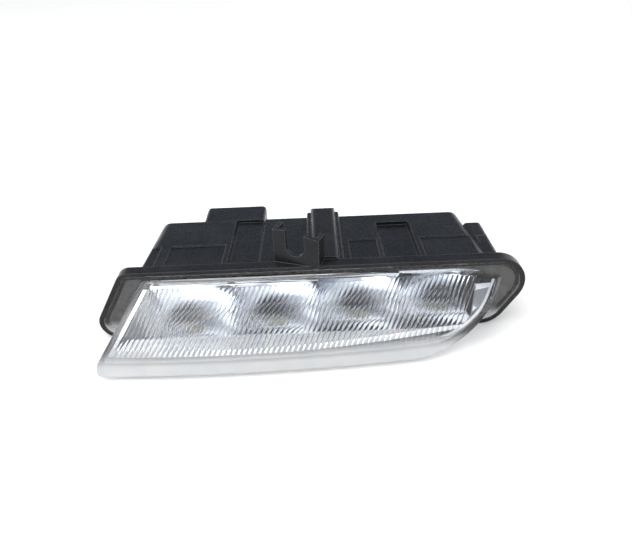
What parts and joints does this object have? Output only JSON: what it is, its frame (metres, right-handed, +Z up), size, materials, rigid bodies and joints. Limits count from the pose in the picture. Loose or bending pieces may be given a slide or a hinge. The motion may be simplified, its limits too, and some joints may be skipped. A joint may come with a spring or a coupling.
{
  "type": "bumper light",
  "caption": "Bumper running light: black moulded housing with a slotted bracket and a rear plug socket, and a deep clear fluted lens over a chromed dish reflector.",
  "frame": {"origin": "centre of the bounding box in X and Y, at the level the lamp rests on", "axes": "+X along the lamp to the right seen from the front, +Y from the lens to the plug socket, +Z up"},
  "size_m": [0.2244, 0.1158, 0.0599],
  "materials": {
    "black_abs": "satin moulded",
    "clear_acrylic": "polished",
    "adhesive": "dull",
    "metallised_plastic": "mirror",
    "zinc_steel": "plated",
    "white_board": "solder mask",
    "chip_plastic": "moulded",
    "natural_nylon": "moulded",
    "silicone_pad": "soft",
    "aluminium": "milled",
    "black_rubber": "matt",
    "led_phosphor": "moulded",
    "tinned_brass": "tinned",
    "wire_cover_1": "extruded",
    "wire_cover_2": "extruded",
    "wire_cover_3": "extruded"
  },
  "bodies": {
    "root": {"housing": "black_abs", "lens": "clear_acrylic", "lens_seal": "adhesive", "reflector": "metallised_plastic", "bezel_tray": "metallised_plastic", "reflector_screws": "zinc_steel", "board_screws": "zinc_steel", "led_board": "white_board", "board_components": "chip_plastic", "board_header": "natural_nylon", "thermal_pad": "silicone_pad", "heat_sink": "aluminium", "breather_cap": "black_rubber", "led_1": "led_phosphor", "led_2": "led_phosphor", "led_3": "led_phosphor", "led_4": "led_phosphor", "socket_blade_1": "tinned_brass", "wire_1": "wire_cover_1", "socket_blade_2": "tinned_brass", "wire_2": "wire_cover_2", "socket_blade_3": "tinned_brass", "wire_3": "wire_cover_3"}
  },
  "joints": []
}
